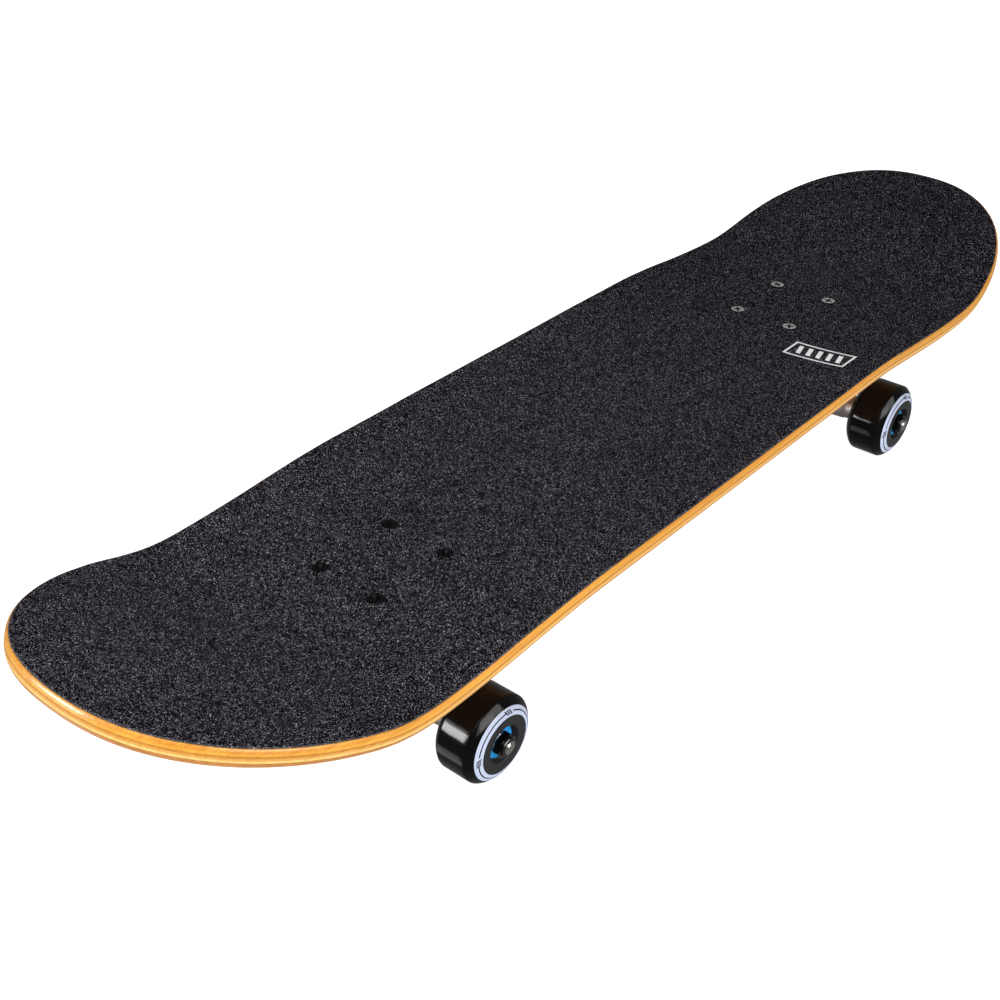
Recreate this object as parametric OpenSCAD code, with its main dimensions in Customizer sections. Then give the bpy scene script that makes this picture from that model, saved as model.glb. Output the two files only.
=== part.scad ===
// Complete street skateboard: laminated deck with grip tape, two traditional-kingpin trucks,
// four urethane wheels on ball bearings.
// Millimetres. +X to the nose, +Y to the left rail, +Z up. The origin is on the ground, under the
// centre of the board's outline.

/* [Deck] */
// Width of the wooden deck between the wheels
deck_width = 205.3; // [200:0.1:212]
// Length of the flat pattern from the truck centre line to the tip of the nose
nose_length = 420.9; // [410:0.1:430]
// Length of the flat pattern from the truck centre line to the tip of the tail
tail_length = 420.3; // [410:0.1:430]
// Thickness of the seven glued plies
deck_thickness = 10.2; // [8:0.1:12]
// Thickness of the grip tape
grip_thickness = 0.7; // [0.5:0.1:1.2]
// Height by which the rails rise above the flat middle of the deck
concave_height = 7.8; // [0:0.1:10]
// Half width of the flat strip along the middle of the concave
concave_flat = 25.2; // [20:0.1:35]
// Angle of the nose kick in degrees
nose_angle = 15.7; // [10:0.1:22]
// Angle of the tail kick in degrees
tail_angle = 19.3; // [10:0.1:24]

/* [Trucks] */
// Distance between the inner mounting screws of the two trucks
wheelbase = 359.1; // [350:0.1:370]
// Spacing of the mounting screws along the board
screw_spacing_x = 53.98; // [50:0.01:58]
// Spacing of the mounting screws across the board
screw_spacing_y = 41.28; // [38:0.01:44]
// Height from the axle to the face that is bolted to the deck
truck_height = 55.4; // [54:0.1:57]
// Distance from the screw pattern's centre outwards to the axle
axle_offset = 11.9; // [10:0.1:14]
// Length of the hanger between the two inner speed washers
hanger_width = 136.1; // [130:0.1:140]
// Length of the axle
axle_length = 201.3; // [198:0.1:204]
// Lean of the kingpin from the vertical in degrees
kingpin_lean = 22; // [18:0.5:25]

/* [Wheels] */
// Diameter of the wheels
wheel_diameter = 52.2; // [50:0.1:54]
// Width of the wheels
wheel_width = 30.4; // [29:0.1:33]

/* [Hidden] */
ENDS = ["front", "rear"];
SIDES = ["left", "right"];
TRUCK_PIECES = [
    "baseplate", "pivot_cup", "kingpin", "kingpin_nut", "barrel_bushing", "cone_bushing",
    "bottom_washer", "top_washer", "hanger", "axle", "mounting_screws", "mounting_nuts",
    "axle_nuts", "speed_washers", "bearing_spacers", "inner_races"
];
WHEEL_PIECES = ["wheel", "outer_races", "bearing_balls", "ball_retainers", "bearing_shields"];
$fn = 64;
small_facets = 32;
wheel_facets = 96;
// Overlap that joins two solids, and the distance by which cutters pass the faces they cut
eps = 0.01;
past = 1;

// Outline of the deck. Each end is a superellipse that starts where the rails begin to curve in.
nose_curve_start = 283;
tail_curve_start = 294;
nose_point = 2.14;
tail_point = 2.185;
end_fullness = 2.25;
rail_taper = 0.9;
end_steps = 16;
rail_steps = 26;
outline_count = 2 * end_steps + rail_steps;
cross_steps = 12;

// Kicks: each is an arc that starts at a distance from the centre line, then a straight slope.
nose_kick_start = 273.4;
tail_kick_start = 268.2;
nose_kick_radius = 130;
tail_kick_radius = 123;
concave_fade_start = 143;
concave_fade_end = 267;
nose_concave_left = 0.02;
tail_concave_left = 0.2;

// Edge of the deck: a short round over at the top and a long one at the bottom.
edge_top_width = 1.0;
edge_top_drop = 3.6;
edge_bottom_width = 3.8;
edge_bottom_rise = 4.7;
edge_steps = 3;

// Heights and places
wheel_radius = wheel_diameter / 2;
deck_bottom = wheel_radius + truck_height;
deck_top = deck_bottom + deck_thickness;
truck_x = wheelbase / 2 + screw_spacing_x / 2;

// Screws: 10-32 countersunk
screw_radius = 2.4;
screw_hole_radius = 2.6;
screw_head_radius = 4.7;
screw_head_height = 2.6;
screw_head_sink = 0.35;
screw_length = 25.4;
screw_recess_depth = 1.9;
screw_recess_span = 5.4;
screw_recess_slot = 1.1;
screw_top = deck_thickness + grip_thickness - screw_head_sink;
nut_flats = 9.5;
nut_height = 5.4;

// Baseplate, in the truck's own frame: origin at the screw pattern's centre on the mounting face
plate_length = 80;
plate_width = 56;
plate_corner = 8;
plate_thickness = 6.5;
seat = [-8, 0, -17.5];
boss_radius = 13.8;
boss_length = 20;
kingpin_radius = 4.76;
kingpin_head_radius = 7;
kingpin_head_from = 9.4;
kingpin_head_height = 5.8;
kingpin_tail = 43.5;
pocket_radius = 7.6;

// The stack of pieces on the kingpin, measured from the seat along the kingpin
washer_thickness = 1.2;
bottom_washer_radius = 13;
top_washer_radius = 9.6;
barrel_height = 14;
barrel_radius = 12.2;
ring_thickness = 6.5;
cone_height = 10.5;
cone_base_radius = 12;
cone_top_radius = 8.4;
kingpin_nut_flats = 14.3;
kingpin_nut_height = 7.6;
ring_from = washer_thickness + barrel_height;
ring_middle = ring_from + ring_thickness / 2;
cone_from = ring_from + ring_thickness;
top_washer_from = cone_from + cone_height;
kingpin_nut_from = top_washer_from + washer_thickness;

// Hanger
ring_radius = 15.5;
ring_hole_radius = 9;
axle_radius = 3.97;
axle_z = -truck_height;
kingpin_way = [-sin(kingpin_lean), 0, -cos(kingpin_lean)];
ring_centre = seat + ring_middle * kingpin_way;
pivot = [24, 0, -12];
pivot_radius = 5;
pivot_clearance = 0.05;
pivot_slope = atan2(pivot[2] - ring_centre[2], pivot[0] - ring_centre[0]);
cup_radius = 7.6;
cup_front = -7;
cup_back = 7;
cup_mouth = 5;
pivot_boss_radius = 10.6;
pivot_boss_length = 16;
pivot_boss_from = cup_front - 0.5;
// The barrel round the axle: full radius in the middle, then a taper to a neck and a plain end
barrel_full_radius = 10.8;
barrel_full_half = 22;
barrel_neck_radius = 9.4;
barrel_neck_half = 56;
barrel_end_radius = 8.6;
barrel_end_half = 57;

// Bearings: 608 size
bearing_radius = 11;
bearing_width = 7;
bearing_gap = 10;
bearing_bore = 4;
washer_gap = 0.9;
ball_radius = 1.98;
ball_count = 7;
ball_pitch = 7.6;
ball_clearance = 0.05;
inner_land = 6.15;
outer_land = 9.05;
shield_radius = 9.5;
shield_inner = 6.4;
shield_thickness = 0.5;
shield_sink = 0.25;
speed_washer_radius = 5.6;
axle_nut_flats = 12.7;
axle_nut_height = 5.6;
spacer_radius = 5;
wheel_y = hanger_width / 2 + washer_gap + bearing_width + bearing_gap / 2;

// Ball retainer of a bearing, measured from the bearing's middle
retainer_outer = 8.6;
retainer_inner = 6.6;
retainer_from = -2.7;
retainer_width = 3.4;

// Wheel section: a flat tread, full shoulders down to the flat side face, and a recess in that face
tread_half = 8.4;
face_radius = 17.4;
shoulder_fullness = 1.45;
shoulder_steps = 10;
recess_radius = 11.2;
mouth_radius = 11.6;
mouth_chamfer = 0.4;
core_radius = 9.6;

function pick(s, nose, tail) = s > 0 ? nose : tail;
function clamp(v) = min(1, max(0, v));
function smooth(v) = let(c = clamp(v)) c * c * (3 - 2 * c);
function hex_radius(flats) = flats / 2 / cos(30);

// Half outline of the flat pattern, from the tail's tip (k = 0) to the nose's tip, on the +Y side
function end_point(s, t) = let(
    len = pick(s, nose_length, tail_length),
    start = pick(s, nose_curve_start, tail_curve_start),
    sharp = pick(s, nose_point, tail_point)
) [
    s * (start + (len - start) * pow(sin(t), 2 / sharp)),
    (deck_width / 2 - rail_taper) * pow(max(0, cos(t)), 2 / end_fullness)
];
function rail_point(u) = let(
    x = -tail_curve_start + (nose_curve_start + tail_curve_start) * (1 - cos(180 * u)) / 2,
    start = x > 0 ? nose_curve_start : tail_curve_start
) [x, deck_width / 2 - rail_taper * pow(x / start, 2)];
function outline_point(k) =
    k < end_steps ? end_point(-1, 90 * (1 - k / end_steps)) :
    k > end_steps + rail_steps ? end_point(1, 90 * (k - end_steps - rail_steps) / end_steps) :
    rail_point((k - end_steps) / rail_steps);
OUTLINE = [for (k = [0:outline_count]) outline_point(k)];
function across(d) = let(l = norm(d)) [-d[1] / l, d[0] / l];
function outline_normal(k) =
    k == 0 ? [-1, 0] :
    k == outline_count ? [1, 0] :
    across(OUTLINE[k + 1] - OUTLINE[k - 1]);
NORMALS = [for (k = [0:outline_count]) outline_normal(k)];

// Bends the flat pattern into the board: p is a flat point, h the height above the deck's top face
function kick_turn(s, x) = let(
    start = pick(s, nose_kick_start, tail_kick_start),
    radius = pick(s, nose_kick_radius, tail_kick_radius),
    full = pick(s, nose_angle, tail_angle)
) min(full, max(0, x - start) / radius * 180 / PI);
function kick_place(s, x) = let(
    start = pick(s, nose_kick_start, tail_kick_start),
    radius = pick(s, nose_kick_radius, tail_kick_radius),
    full = pick(s, nose_angle, tail_angle),
    turn = kick_turn(s, x),
    straight = max(0, x - start - radius * full * PI / 180)
) [
    min(x, start) + radius * sin(turn) + straight * cos(full),
    radius * (1 - cos(turn)) + straight * sin(full)
];
function concave(s, x, y) = let(
    left = pick(s, nose_concave_left, tail_concave_left),
    fade = 1 - (1 - left) * smooth((x - concave_fade_start) / (concave_fade_end - concave_fade_start)),
    side = clamp((abs(y) - concave_flat) / (deck_width / 2 - concave_flat))
) concave_height * fade * side * side;
function bent(p, h) = let(
    s = p[0] < 0 ? -1 : 1,
    x = abs(p[0]),
    turn = kick_turn(s, x),
    place = kick_place(s, x),
    lift = concave(s, x, p[1]) + h
) [s * (place[0] - lift * sin(turn)), p[1], place[1] + lift * cos(turn)];

// Edge profile of the deck: [inset from the outline, height above the top face], downwards
EDGE = concat(
    [for (i = [0:edge_steps]) let(t = 90 * i / edge_steps)
        [edge_top_width * (1 - sin(t)), -edge_top_drop * (1 - cos(t))]],
    [for (i = [0:edge_steps]) let(t = 90 * i / edge_steps)
        [edge_bottom_width * (1 - cos(t)), edge_bottom_rise * (1 - sin(t)) - deck_thickness]]
);

// The board's ends lie at different distances, so the whole model is shifted to centre them.
function reach(s) = max([
    for (e = EDGE) abs(bent([s * (pick(s, nose_length, tail_length) - e[0]), 0], e[1])[0])
]);
shift_x = (reach(-1) - reach(1)) / 2;

// A closed sheet over the outline. rings = [[inset, height], ...] from the top edge to the bottom.
function mirror_y(p) = [p[0], -p[1]];
function inset_point(k, inset) = OUTLINE[k] - inset * NORMALS[k];
function loop_point(i, inset) = i <= outline_count ?
    inset_point(i, inset) : mirror_y(inset_point(2 * outline_count - i, inset));
function face_points(ring) = [
    for (k = [1:outline_count - 1]) let(edge = inset_point(k, ring[0]))
        for (j = [1:cross_steps - 1]) bent([edge[0], edge[1] * (1 - 2 * j / cross_steps)], ring[1])
];
function face_id(k, j, ring_start, face_start) =
    k == 0 ? ring_start :
    k == outline_count ? ring_start + outline_count :
    j == 0 ? ring_start + k :
    j == cross_steps ? ring_start + 2 * outline_count - k :
    face_start + (k - 1) * (cross_steps - 1) + j - 1;
function triangles(a, b, c, d, up) = [
    for (t = [[a, b, c], [a, c, d]]) if (t[0] != t[1] && t[1] != t[2] && t[0] != t[2])
        up ? t : [t[2], t[1], t[0]]
];
function face_triangles(ring_start, face_start, up) = [
    for (k = [0:outline_count - 1]) for (j = [0:cross_steps - 1])
        each triangles(
            face_id(k, j, ring_start, face_start),
            face_id(k + 1, j, ring_start, face_start),
            face_id(k + 1, j + 1, ring_start, face_start),
            face_id(k, j + 1, ring_start, face_start),
            up
        )
];
function strip_triangles(a, b, n) = [
    for (i = [0:n - 1]) each triangles(a + i, a + (i + 1) % n, b + (i + 1) % n, b + i, false)
];

module board_sheet(rings) {
    n = 2 * outline_count;
    last = len(rings) - 1;
    loops = [for (r = rings) for (i = [0:n - 1]) bent(loop_point(i, r[0]), r[1])];
    top_face = face_points(rings[0]);
    bottom_face = face_points(rings[last]);
    top_start = len(loops);
    bottom_start = top_start + len(top_face);
    polyhedron(
        points = concat(loops, top_face, bottom_face),
        faces = concat(
            face_triangles(0, top_start, true),
            [for (r = [0:last - 1]) each strip_triangles(r * n, (r + 1) * n, n)],
            face_triangles(last * n, bottom_start, false)
        )
    );
}

// Places
module at_board() {
    translate([shift_x, 0, deck_top]) children();
}
module at_truck(end) {
    turn = end == "front" ? 0 : 180;
    side = end == "front" ? 1 : -1;
    translate([side * truck_x + shift_x, 0, deck_bottom]) rotate([0, 0, turn]) children();
}
module at_screws() {
    for (x = [-1, 1]) for (y = [-1, 1])
        translate([x * screw_spacing_x / 2, y * screw_spacing_y / 2, 0]) children();
}
// Along the kingpin, away from the deck: z is the distance from the seat
module along_kingpin(from) {
    translate(seat) rotate([0, 180 + kingpin_lean, 0]) translate([0, 0, from]) children();
}
// Along the steering axis, outwards and up: z is the distance from the middle of the pivot ball
module along_pivot(from) {
    translate(pivot) rotate([0, 90 - pivot_slope, 0]) translate([0, 0, from]) children();
}
// Along the axle towards one wheel: z is the distance from the board's middle
module along_axle(side) {
    translate([axle_offset, 0, axle_z]) rotate([side == "left" ? -90 : 90, 0, 0]) children();
}
// A wheel of the rear truck is on the other side of that truck's own frame, which is turned round
function own_side(end, side) = (end == "front") == (side == "left") ? "left" : "right";
module at_wheel(end, side) {
    at_truck(end) along_axle(own_side(end, side)) translate([0, 0, wheel_y]) children();
}
module at_bearings() {
    for (m = [0, 1]) mirror([0, 0, m])
        translate([0, 0, (bearing_gap + bearing_width) / 2]) children();
}
module both_sides() {
    for (side = SIDES) along_axle(side) children();
}
module tube(outer, inner, height) {
    difference() {
        cylinder(r = outer, h = height);
        translate([0, 0, -past]) cylinder(r = inner, h = height + 2 * past);
    }
}

// Deck and grip tape
module screw_holes() {
    for (end = ENDS) at_truck(end) at_screws() {
        translate([0, 0, -past])
            cylinder(r = screw_hole_radius, h = deck_thickness + 2 * past, $fn = small_facets);
        translate([0, 0, screw_top - screw_head_height]) screw_cone();
        translate([0, 0, screw_top - eps])
            cylinder(r = screw_head_radius, h = screw_head_sink + past, $fn = small_facets);
    }
}
module screw_cone() {
    cylinder(r1 = screw_radius, r2 = screw_head_radius, h = screw_head_height, $fn = small_facets);
}
module deck() {
    color("peru") difference() {
        at_board() board_sheet(EDGE);
        screw_holes();
    }
}
module grip_tape() {
    color([0.09, 0.09, 0.1]) difference() {
        at_board() board_sheet([[edge_top_width, grip_thickness], [edge_top_width, 0]]);
        screw_holes();
    }
}

// Mounting hardware
module mounting_screws() {
    color([0.12, 0.12, 0.13]) at_screws() translate([0, 0, screw_top]) difference() {
        union() {
            translate([0, 0, -screw_length])
                cylinder(r = screw_radius, h = screw_length - screw_head_height, $fn = small_facets);
            translate([0, 0, -screw_head_height]) screw_cone();
        }
        for (turn = [0, 90]) translate([0, 0, eps - screw_recess_depth / 2]) rotate([0, 0, turn])
            cube([screw_recess_span, screw_recess_slot, screw_recess_depth], center = true);
    }
}
module mounting_nuts() {
    color("dimgray") at_screws() translate([0, 0, -plate_thickness - nut_height]) difference() {
        cylinder(r = hex_radius(nut_flats), h = nut_height, $fn = 6);
        translate([0, 0, -past])
            cylinder(r = screw_radius, h = nut_height + 2 * past, $fn = small_facets);
    }
}

// Baseplate
module rounded_plate() {
    inner_x = plate_length / 2 - plate_corner;
    inner_y = plate_width / 2 - plate_corner;
    translate([0, 0, -plate_thickness]) {
        translate([-inner_x, -plate_width / 2, 0]) cube([2 * inner_x, plate_width, plate_thickness]);
        translate([-plate_length / 2, -inner_y, 0]) cube([plate_length, 2 * inner_y, plate_thickness]);
        for (x = [-1, 1]) for (y = [-1, 1]) translate([x * inner_x, y * inner_y, 0])
            cylinder(r = plate_corner, h = plate_thickness);
    }
}
// Web that joins the two bosses to the plate, drawn as a side view
web_half_width = 8;
WEB = [[-30, -1], [-20, -11], [-12, -15], [6, -14], [14, -8], [30, -9], [35, -5], [36, -1]];
module baseplate() {
    color("silver") difference() {
        union() {
            rounded_plate();
            rotate([90, 0, 0]) translate([0, 0, -web_half_width])
                linear_extrude(2 * web_half_width) polygon(WEB);
            intersection() {
                union() {
                    along_kingpin(-boss_length) cylinder(r = boss_radius, h = boss_length);
                    along_pivot(pivot_boss_from) cylinder(r = pivot_boss_radius, h = pivot_boss_length);
                }
                translate([-plate_length / 2, -plate_width / 2, -truck_height])
                    cube([plate_length, plate_width, truck_height - eps]);
            }
        }
        at_screws() translate([0, 0, -plate_thickness - past])
            cylinder(r = screw_hole_radius, h = plate_thickness + 2 * past, $fn = small_facets);
        along_kingpin(-truck_height) cylinder(r = kingpin_radius, h = truck_height + past);
        along_kingpin(-truck_height) cylinder(r = pocket_radius, h = truck_height - kingpin_head_from);
        along_pivot(cup_front - cup_mouth)
            cylinder(r = cup_radius, h = cup_mouth + cup_back - cup_front);
    }
}
module pivot_cup() {
    color([0.08, 0.08, 0.09]) difference() {
        along_pivot(cup_front) cylinder(r = cup_radius, h = cup_back - cup_front);
        along_pivot(cup_front - past)
            cylinder(r = pivot_radius + pivot_clearance, h = past - cup_front);
        along_pivot(0) sphere(r = pivot_radius + pivot_clearance);
    }
}

// Kingpin and the pieces on it
module kingpin() {
    color("gray") {
        along_kingpin(-kingpin_head_from - eps)
            cylinder(r = kingpin_radius, h = kingpin_tail + kingpin_head_from + eps);
        along_kingpin(-kingpin_head_from - kingpin_head_height)
            cylinder(r = kingpin_head_radius, h = kingpin_head_height);
    }
}
module kingpin_nut() {
    color("silver") along_kingpin(kingpin_nut_from) difference() {
        cylinder(r = hex_radius(kingpin_nut_flats), h = kingpin_nut_height, $fn = 6);
        translate([0, 0, -past]) cylinder(r = kingpin_radius, h = kingpin_nut_height + 2 * past);
    }
}
module barrel_bushing() {
    color("royalblue") along_kingpin(washer_thickness) tube(barrel_radius, kingpin_radius, barrel_height);
}
module cone_bushing() {
    color("royalblue") along_kingpin(cone_from) difference() {
        cylinder(r1 = cone_base_radius, r2 = cone_top_radius, h = cone_height);
        translate([0, 0, -past]) cylinder(r = kingpin_radius, h = cone_height + 2 * past);
    }
}
module bottom_washer() {
    color("silver") along_kingpin(0) tube(bottom_washer_radius, kingpin_radius, washer_thickness);
}
module top_washer() {
    color("silver") along_kingpin(top_washer_from)
        tube(top_washer_radius, kingpin_radius, washer_thickness);
}

// Hanger: barrel round the axle, ring round the kingpin, and the arm that ends in the pivot pin
BARREL_PROFILE = [
    [0, 0], [barrel_full_radius, 0], [barrel_full_radius, barrel_full_half],
    [barrel_neck_radius, barrel_neck_half], [barrel_end_radius, barrel_end_half],
    [barrel_end_radius, hanger_width / 2], [0, hanger_width / 2]
];
wing_half = 30;
wing_radius = 8.4;
wing_ring_inset = 1.5;
wing_ring_trim = 0.4;
wing_cut_radius = ring_radius + 0.5;
arm_half = 12;
arm_radius = 6.4;
arm_foot_radius = 8;
arm_foot_lift = 2;
arm_from = -12;
arm_to = -8.2;
module hanger_wings() {
    hull() {
        along_kingpin(ring_from + wing_ring_trim)
            cylinder(r = ring_radius - wing_ring_inset, h = ring_thickness - 2 * wing_ring_trim);
        translate([axle_offset, 0, axle_z]) rotate([90, 0, 0])
            cylinder(r = wing_radius, h = 2 * wing_half, center = true);
    }
}
module hanger_arm() {
    hull() {
        along_pivot(arm_from) cylinder(r = arm_radius, h = arm_to - arm_from);
        translate([axle_offset, 0, axle_z + arm_foot_lift]) rotate([90, 0, 0])
            cylinder(r = arm_foot_radius, h = 2 * arm_half, center = true);
    }
}
module hanger() {
    color([0.62, 0.61, 0.58]) difference() {
        union() {
            difference() {
                hanger_wings($fn = small_facets);
                along_kingpin(cone_from) cylinder(r = wing_cut_radius, h = truck_height);
                along_kingpin(0) cylinder(r = wing_cut_radius, h = ring_from);
            }
            hanger_arm($fn = small_facets);
            along_kingpin(ring_from) cylinder(r = ring_radius, h = ring_thickness);
            for (side = SIDES) along_axle(side) rotate_extrude() polygon(BARREL_PROFILE);
            along_pivot(arm_from) cylinder(r = pivot_radius, h = -arm_from);
            along_pivot(0) sphere(r = pivot_radius);
        }
        along_kingpin(ring_from - past)
            cylinder(r = ring_hole_radius, h = ring_thickness + 2 * past);
        translate([axle_offset, 0, axle_z]) rotate([90, 0, 0])
            cylinder(r = axle_radius, h = hanger_width + 2 * past, center = true);
    }
}

// Axle and the pieces on it that don't turn with the wheels
axle_tip_length = 1.2;
axle_tip_radius = 2.97;
module axle() {
    color("darkgray") translate([axle_offset, 0, axle_z]) rotate([90, 0, 0]) {
        cylinder(r = axle_radius, h = axle_length - 2 * axle_tip_length, center = true);
        for (m = [0, 1]) mirror([0, 0, m]) translate([0, 0, axle_length / 2 - axle_tip_length])
            cylinder(r1 = axle_radius, r2 = axle_tip_radius, h = axle_tip_length);
    }
}
module speed_washers() {
    far = wheel_y + bearing_gap / 2 + bearing_width;
    color("silver") both_sides() for (from = [hanger_width / 2, far])
        translate([0, 0, from]) tube(speed_washer_radius, axle_radius, washer_gap);
}
module bearing_spacers() {
    color("silver") both_sides() translate([0, 0, wheel_y - bearing_gap / 2])
        tube(spacer_radius, axle_radius, bearing_gap);
}
module axle_nuts() {
    from = wheel_y + bearing_gap / 2 + bearing_width + washer_gap;
    color([0.07, 0.07, 0.08]) both_sides() translate([0, 0, from]) difference() {
        cylinder(r = hex_radius(axle_nut_flats), h = axle_nut_height, $fn = 6);
        translate([0, 0, -past]) cylinder(r = axle_radius, h = axle_nut_height + 2 * past);
    }
}
module ball_groove() {
    rotate_extrude() translate([ball_pitch, 0, 0])
        circle(r = ball_radius + ball_clearance, $fn = small_facets);
}
module inner_races() {
    color("silver") both_sides() translate([0, 0, wheel_y]) at_bearings() difference() {
        translate([0, 0, -bearing_width / 2]) tube(inner_land, bearing_bore, bearing_width);
        ball_groove();
    }
}

// Pieces that turn with a wheel, in the wheel's own frame: +Z outwards along the axle
function shoulder(t) = [
    face_radius + (wheel_radius - face_radius) * pow(sin(t), 2 / shoulder_fullness),
    tread_half + (wheel_width / 2 - tread_half) * pow(cos(t), 2 / shoulder_fullness)
];
WHEEL_HALF = concat(
    [[core_radius, 0], [core_radius, bearing_gap / 2], [bearing_radius, bearing_gap / 2],
        [bearing_radius, bearing_gap / 2 + bearing_width],
        [recess_radius, bearing_gap / 2 + bearing_width],
        [mouth_radius - mouth_chamfer, wheel_width / 2 - mouth_chamfer],
        [mouth_radius, wheel_width / 2]],
    [for (i = [0:shoulder_steps]) shoulder(90 * i / shoulder_steps)]
);
WHEEL_SECTION = concat(
    WHEEL_HALF,
    [for (i = [len(WHEEL_HALF) - 1:-1:1]) [WHEEL_HALF[i][0], -WHEEL_HALF[i][1]]]
);
module wheel() {
    color([0.05, 0.05, 0.06]) rotate_extrude($fn = wheel_facets) polygon(WHEEL_SECTION);
}
module outer_races() {
    step = shield_thickness + shield_sink;
    color("silver") at_bearings() difference() {
        translate([0, 0, -bearing_width / 2]) tube(bearing_radius, outer_land, bearing_width);
        ball_groove();
        translate([0, 0, bearing_width / 2 - step]) cylinder(r = shield_radius, h = step + past);
    }
}
module balls(radius) {
    for (i = [0:ball_count - 1]) rotate([0, 0, 360 * i / ball_count])
        translate([ball_pitch, 0, 0]) sphere(r = radius, $fn = small_facets);
}
module bearing_balls() {
    color("white") at_bearings() balls(ball_radius);
}
module ball_retainers() {
    color("ivory") at_bearings() difference() {
        translate([0, 0, retainer_from]) tube(retainer_outer, retainer_inner, retainer_width);
        balls(ball_radius + ball_clearance);
    }
}
module bearing_shields() {
    color("deepskyblue") at_bearings()
        translate([0, 0, bearing_width / 2 - shield_sink - shield_thickness])
            tube(shield_radius, shield_inner, shield_thickness);
}

// Assembly
deck();
grip_tape();
module truck_piece(name) {
    if (name == "baseplate") baseplate();
    if (name == "pivot_cup") pivot_cup();
    if (name == "kingpin") kingpin();
    if (name == "kingpin_nut") kingpin_nut();
    if (name == "barrel_bushing") barrel_bushing();
    if (name == "cone_bushing") cone_bushing();
    if (name == "bottom_washer") bottom_washer();
    if (name == "top_washer") top_washer();
    if (name == "hanger") hanger();
    if (name == "axle") axle();
    if (name == "mounting_screws") mounting_screws();
    if (name == "mounting_nuts") mounting_nuts();
    if (name == "axle_nuts") axle_nuts();
    if (name == "speed_washers") speed_washers();
    if (name == "bearing_spacers") bearing_spacers();
    if (name == "inner_races") inner_races();
}
module wheel_piece(name) {
    if (name == "wheel") wheel();
    if (name == "outer_races") outer_races();
    if (name == "bearing_balls") bearing_balls();
    if (name == "ball_retainers") ball_retainers();
    if (name == "bearing_shields") bearing_shields();
}
for (end = ENDS) for (piece = TRUCK_PIECES)
    at_truck(end) truck_piece(piece);
for (end = ENDS) for (side = SIDES) for (piece = WHEEL_PIECES)
    at_wheel(end, side) wheel_piece(piece);
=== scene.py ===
import math
import random

import bmesh
import bpy
import numpy as np
from mathutils import Matrix, Vector


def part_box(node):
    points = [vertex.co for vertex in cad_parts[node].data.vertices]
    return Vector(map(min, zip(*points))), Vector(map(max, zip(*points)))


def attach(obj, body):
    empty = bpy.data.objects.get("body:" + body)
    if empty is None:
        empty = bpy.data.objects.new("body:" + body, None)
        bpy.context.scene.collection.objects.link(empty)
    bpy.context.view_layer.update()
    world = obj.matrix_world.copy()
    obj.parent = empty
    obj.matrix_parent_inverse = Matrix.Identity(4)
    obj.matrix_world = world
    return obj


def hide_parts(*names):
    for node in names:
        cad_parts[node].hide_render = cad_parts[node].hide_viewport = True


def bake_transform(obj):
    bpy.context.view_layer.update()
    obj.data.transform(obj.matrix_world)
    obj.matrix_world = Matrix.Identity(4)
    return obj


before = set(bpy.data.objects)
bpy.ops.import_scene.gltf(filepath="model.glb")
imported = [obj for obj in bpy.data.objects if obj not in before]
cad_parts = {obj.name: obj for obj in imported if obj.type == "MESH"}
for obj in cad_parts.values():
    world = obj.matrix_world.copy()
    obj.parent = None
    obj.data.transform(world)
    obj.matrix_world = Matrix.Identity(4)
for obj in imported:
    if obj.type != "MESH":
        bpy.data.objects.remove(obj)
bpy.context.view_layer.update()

MM = 0.001
ENDS = ("front", "rear")
SIDES = ("left", "right")
random.seed(11)

# ---------------------------------------------------------------- camera and lights

CAMERA_PLACE = Vector((-0.64489, -0.43072, 0.5346))
CAMERA_TURN = 0.734728          # radians from +X towards +Y
CAMERA_DIP = 0.618871           # radians below the horizon
CAMERA_ROLL = -0.006716
CAMERA_LENS = 50.958
CAMERA_SHIFT = (0.06745, 0.05048)


def make_camera():
    """The camera, above the tail on the board's right side."""
    look = Vector((
        math.cos(CAMERA_DIP) * math.cos(CAMERA_TURN),
        math.cos(CAMERA_DIP) * math.sin(CAMERA_TURN),
        -math.sin(CAMERA_DIP),
    ))
    side = look.cross(Vector((0, 0, 1))).normalized()
    up = side.cross(look)
    c, s = math.cos(CAMERA_ROLL), math.sin(CAMERA_ROLL)
    right, top = c * side + s * up, c * up - s * side
    turn = Matrix((right, top, -look)).transposed().to_4x4()
    data = bpy.data.cameras.new("camera")
    data.lens = CAMERA_LENS
    data.sensor_width = 36.0
    data.shift_x, data.shift_y = CAMERA_SHIFT
    data.clip_start = 0.01
    camera = bpy.data.objects.new("camera", data)
    camera.matrix_world = Matrix.Translation(CAMERA_PLACE) @ turn
    bpy.context.scene.collection.objects.link(camera)
    bpy.context.scene.camera = camera


LIGHT_TARGET = Vector((0, 0, 0.06))
SKY_STRENGTH = 0.3


def add_softbox(name, turn, height, distance, size, radiance, glint=False):
    """A soft rectangular light that faces the board. turn and height are its direction in degrees,
    size is (width, height) in metres, and radiance is how bright it looks in a reflection. A glint
    shows only in reflections and lights nothing else."""
    data = bpy.data.lights.new(name, "AREA")
    data.shape = "RECTANGLE"
    data.size, data.size_y = size
    data.energy = radiance * math.pi * size[0] * size[1]
    way = Vector((
        math.cos(math.radians(height)) * math.cos(math.radians(turn)),
        math.cos(math.radians(height)) * math.sin(math.radians(turn)),
        math.sin(math.radians(height)),
    ))
    light = bpy.data.objects.new(name, data)
    facing = way.to_track_quat("Z", "Y").to_matrix().to_4x4()
    light.matrix_world = Matrix.Translation(LIGHT_TARGET + distance * way) @ facing
    light.visible_camera = False
    light.visible_diffuse = not glint
    bpy.context.scene.collection.objects.link(light)


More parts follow.
